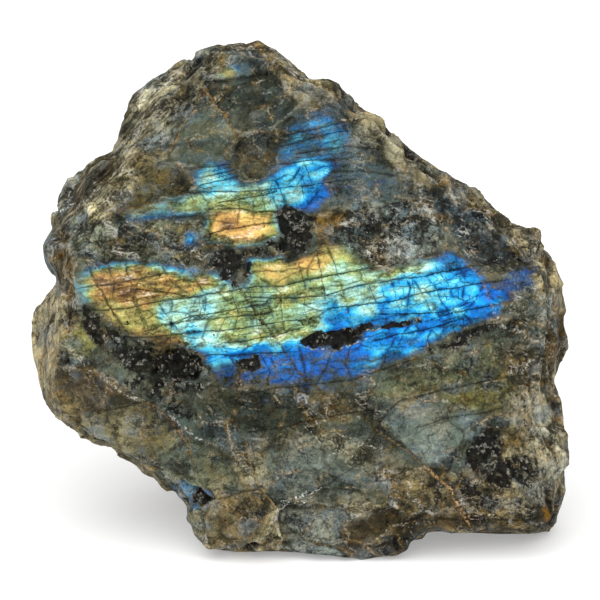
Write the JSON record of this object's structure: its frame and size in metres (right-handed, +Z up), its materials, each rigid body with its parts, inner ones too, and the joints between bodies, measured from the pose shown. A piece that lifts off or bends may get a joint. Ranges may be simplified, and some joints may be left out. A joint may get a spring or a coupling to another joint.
{
  "type": "rough labradorite chunk",
  "caption": "Rough broken chunk of labradorite that stands on its own foot: a dark feldspar block with one leaning cleavage face that flashes blue, cyan and gold.",
  "frame": {"origin": "on the surface the stone stands on, below the middle of its bounding box", "axes": "+Z up; +X along the flash face's width, to the right as that face is looked at; +Y back through the stone, away from the flash face"},
  "size_m": [0.0992, 0.0578, 0.086],
  "materials": {
    "labradorite": "grey-green to brown feldspar with a glassy cleavage face that flashes blue, cyan, green and gold, and dull broken sides"
  },
  "bodies": {
    "root": {"labradorite_chunk": "labradorite"}
  },
  "joints": []
}
